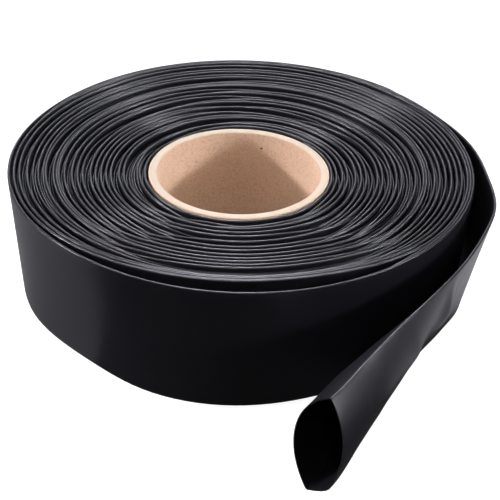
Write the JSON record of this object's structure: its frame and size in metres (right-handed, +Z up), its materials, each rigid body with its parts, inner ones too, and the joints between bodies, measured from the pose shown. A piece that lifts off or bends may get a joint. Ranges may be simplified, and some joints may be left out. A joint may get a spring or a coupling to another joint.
{
  "type": "heat shrink tube roll",
  "caption": "Flat-wound roll of black heat shrink tube on a cardboard core, lying on its end, with the free end unwound and its mouth open.",
  "frame": {"origin": "under the middle of the part's box, on the floor that the roll lies on", "axes": "+Z up along the core's axis, +Y away from the free end's open mouth, +X to the side on which the free end leaves the roll"},
  "size_m": [0.2234, 0.2754, 0.0635],
  "materials": {
    "cardboard": "matt kraft board",
    "black_polyolefin": "satin black polyolefin"
  },
  "bodies": {
    "root": {"cardboard_core": "cardboard", "heat_shrink_tube": "black_polyolefin"}
  },
  "joints": []
}
